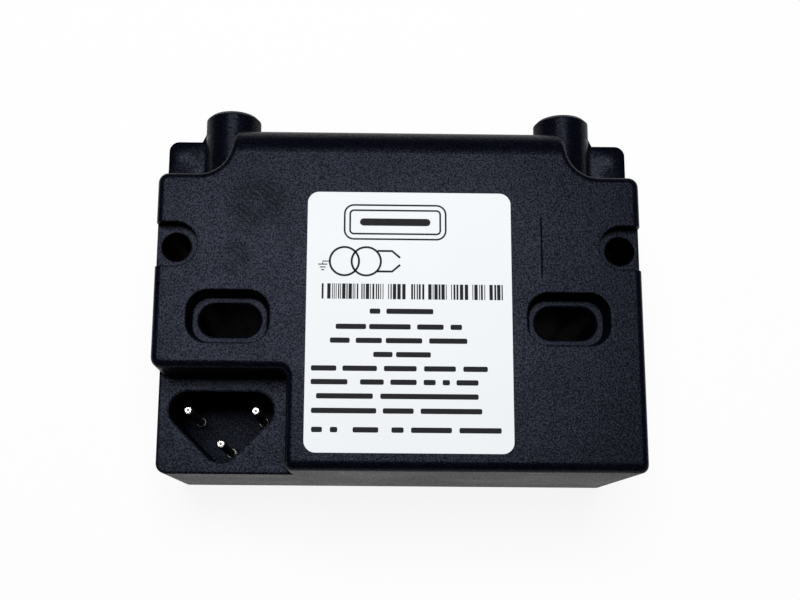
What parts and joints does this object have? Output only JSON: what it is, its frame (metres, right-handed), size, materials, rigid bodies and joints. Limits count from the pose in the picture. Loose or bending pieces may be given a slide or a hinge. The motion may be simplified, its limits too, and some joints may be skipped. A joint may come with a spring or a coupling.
{
  "type": "ignition transformer",
  "caption": "Black potted ignition transformer with high-voltage cable sockets, a sunk mains plug socket, slotted fixing holes in recesses and a white label.",
  "frame": {"origin": "below the middle of the whole outline, in the plane of the open back", "axes": "+Z out of the labelled face, +Y towards the high-voltage sockets, +X to the right"},
  "size_m": [0.1154, 0.0898, 0.0521],
  "materials": {
    "black_plastic": "fine grained, matt",
    "label_film": "satin film",
    "plated_brass": "nickel plated",
    "cast_resin": "cast, slightly uneven",
    "core_steel": "laminated",
    "pressboard": "matt",
    "bobbin_nylon": "moulded",
    "enamelled_copper": "enamelled",
    "insulating_tape": "satin film",
    "tinned_copper": "tinned, satin"
  },
  "bodies": {
    "root": {"housing": "black_plastic", "label": "label_film", "line_pin": "plated_brass", "neutral_pin": "plated_brass", "earth_pin": "plated_brass", "potting_compound": "cast_resin", "closing_layer": "cast_resin", "core_u": "core_steel", "core_yoke": "core_steel", "core_shunt": "core_steel", "shunt_spacer_left": "pressboard", "shunt_spacer_right": "pressboard", "primary_bobbin": "bobbin_nylon", "primary_winding": "enamelled_copper", "primary_wrap": "insulating_tape", "secondary_bobbin_left": "bobbin_nylon", "secondary_bobbin_right": "bobbin_nylon", "secondary_winding_left": "enamelled_copper", "secondary_winding_right": "enamelled_copper", "secondary_wrap_left": "insulating_tape", "secondary_wrap_right": "insulating_tape", "high_voltage_terminal_left": "plated_brass", "high_voltage_terminal_right": "plated_brass", "high_voltage_strap_left": "tinned_copper", "high_voltage_strap_right": "tinned_copper", "line_strap": "tinned_copper", "neutral_strap": "tinned_copper", "earth_strap": "tinned_copper", "tap_strap_left": "tinned_copper", "tap_strap_right": "tinned_copper"}
  },
  "joints": []
}
